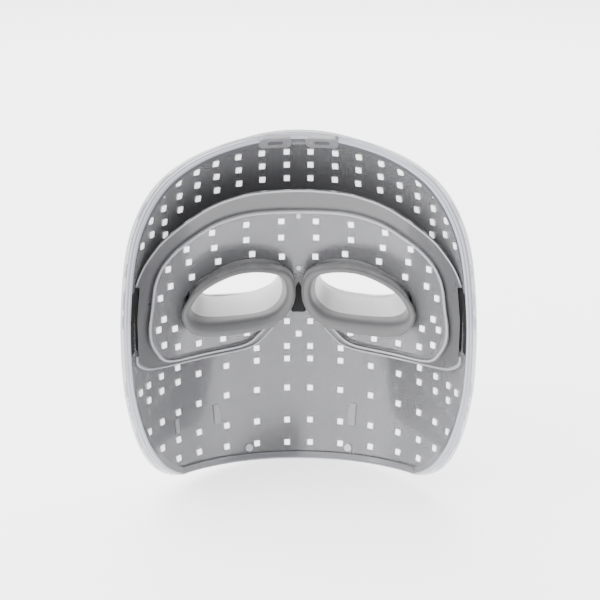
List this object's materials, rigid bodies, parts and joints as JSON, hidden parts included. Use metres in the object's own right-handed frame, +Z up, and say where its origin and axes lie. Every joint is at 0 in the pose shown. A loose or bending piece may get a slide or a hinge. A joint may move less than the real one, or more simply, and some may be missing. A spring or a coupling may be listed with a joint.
{
  "type": "led face mask",
  "caption": "Rigid full-face light therapy mask seen from the wearer's side, with a clear panel over light rows, a brow unit round the eyes and soft eye cups.",
  "frame": {"origin": "midway between the two side strap slots, inside the wearer's head", "axes": "+Z up the face, +Y away from the face, +X to the wearer's right"},
  "size_m": [0.1792, 0.106, 0.1944],
  "materials": {
    "shell": "pearl white gloss",
    "panel": "clear gloss",
    "board": "grey solder mask",
    "light": "white",
    "chip": "matt",
    "screw": "satin",
    "frame": "silver grey",
    "cup": "soft matt",
    "black": "matt",
    "socket": "satin",
    "cell": "foil",
    "tray": "matt",
    "pcb": "green solder mask",
    "port": "satin",
    "button": "gloss",
    "lead": "matt"
  },
  "bodies": {
    "mask": {"front_shell": "shell", "rim_bezel": "shell", "main_lens": "panel", "main_light_board": "board", "main_leds": "light", "main_board_chips": "chip", "main_board_screws": "screw", "brow_frame": "frame", "brow_lens": "panel", "brow_light_board": "board", "brow_leds": "light", "brow_posts": "tray", "brow_screws": "screw", "ribbon_cable": "tray", "bridge_block": "black", "right_top_strap_socket": "socket", "left_top_strap_socket": "socket", "right_slot_liner": "black", "left_slot_liner": "black", "battery_cell": "cell", "battery_holder": "tray", "control_board": "pcb", "control_chips": "chip", "control_posts": "tray", "control_screws": "screw", "battery_leads": "lead", "board_connector": "black", "usb_c_port": "port", "button_switch": "black", "status_light_pipe": "panel"},
    "button": {"power_button": "button"},
    "right_cup": {"right_eye_cup": "cup"},
    "left_cup": {"left_eye_cup": "cup"}
  },
  "joints": [
    {"name": "power_press", "type": "slide", "parent": "mask", "child": "button", "axis": [0, -1, 0], "range_m": [0, 0.0008], "stiffness_N_per_m": 900, "springref_m": -0.0006},
    {"name": "right_cup_pull", "type": "slide", "parent": "mask", "child": "right_cup", "axis": [0, -1, 0], "range_m": [0, 0.066]},
    {"name": "left_cup_pull", "type": "slide", "parent": "mask", "child": "left_cup", "axis": [0, -1, 0], "range_m": [0, 0.066]}
  ]
}
